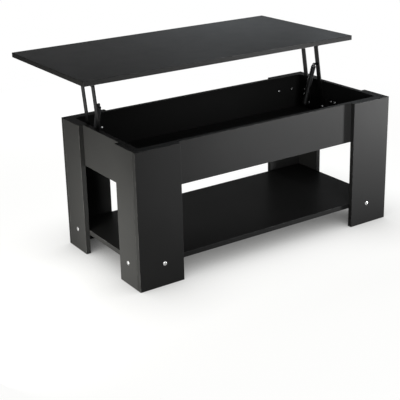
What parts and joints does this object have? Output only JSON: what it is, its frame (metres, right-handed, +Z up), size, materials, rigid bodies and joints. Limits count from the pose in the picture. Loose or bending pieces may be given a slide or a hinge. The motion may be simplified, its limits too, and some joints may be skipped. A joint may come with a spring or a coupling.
{
  "type": "lift top coffee table",
  "caption": "Black board coffee table with L-shaped legs, a lower shelf, an open storage box and a tabletop that lifts and shifts on parallel arms.",
  "frame": {"origin": "on the floor, in the middle of the legs' footprint; the tabletop is raised at rest", "axes": "+X along the table to its right end, +Y from the front to the back, towards which the tabletop lifts, +Z up"},
  "size_m": [0.98, 0.6922, 0.561],
  "materials": {
    "board": "matt black melamine faced board",
    "black_steel": "black powder coat",
    "spring_steel": "black phosphated wire",
    "zinc": "zinc plated",
    "beech": "plain beech",
    "nylon": "natural nylon"
  },
  "bodies": {
    "base": {"front_apron": "board", "back_apron": "board", "left_end_panel": "board", "right_end_panel": "board", "box_floor": "board", "lower_shelf": "board", "front_left_leg_face": "board", "front_right_leg_face": "board", "back_left_leg_face": "board", "back_right_leg_face": "board", "front_left_leg_end": "board", "front_right_leg_end": "board", "back_left_leg_end": "board", "back_right_leg_end": "board", "corner_dowels": "beech", "box_dowels": "beech", "cam_locks": "zinc", "cam_bolts": "zinc", "shelf_bolts": "zinc", "leg_screws": "zinc", "left_base_bracket": "black_steel", "right_base_bracket": "black_steel", "bracket_screws": "zinc", "base_rivets": "zinc", "base_washers": "nylon", "rear_stops": "black_steel", "spring_anchors": "zinc"},
    "front_arms": {"left_front_arm": "black_steel", "right_front_arm": "black_steel", "spring_pins": "zinc"},
    "rear_arms": {"left_rear_arm": "black_steel", "right_rear_arm": "black_steel"},
    "springs": {"left_spring": "spring_steel", "right_spring": "spring_steel"},
    "lid": {"tabletop": "board", "left_lid_rail": "black_steel", "right_lid_rail": "black_steel", "rail_screws": "zinc", "lid_rivets": "zinc", "lid_washers": "nylon"}
  },
  "joints": [
    {"name": "lid_lift", "type": "hinge", "parent": "base", "child": "front_arms", "pos_m": [0, 0.049, 0.3225], "axis": [1, 0, 0], "range_deg": [0, 82.78], "deforming": ["left_spring", "right_spring"]},
    {"name": "rear_arm_swing", "type": "hinge", "parent": "base", "child": "rear_arms", "pos_m": [0, 0.116, 0.3225], "axis": [1, 0, 0], "range_deg": [0, 82.78]},
    {"name": "spring_swing", "type": "hinge", "parent": "base", "child": "springs", "pos_m": [0, 0.127, 0.312], "axis": [1, 0, 0], "range_deg": [0, 57.27]},
    {"name": "lid_level", "type": "hinge", "parent": "front_arms", "child": "lid", "pos_m": [0, 0.08672, 0.52603], "axis": [1, 0, 0], "range_deg": [-82.78, 0]}
  ],
  "couplings": [
    {"joint": "spring_swing", "follows": "lid_lift", "ratio": 0.69174},
    {"joint": "rear_arm_swing", "follows": "lid_lift", "ratio": 1},
    {"joint": "lid_level", "follows": "lid_lift", "ratio": -1}
  ]
}
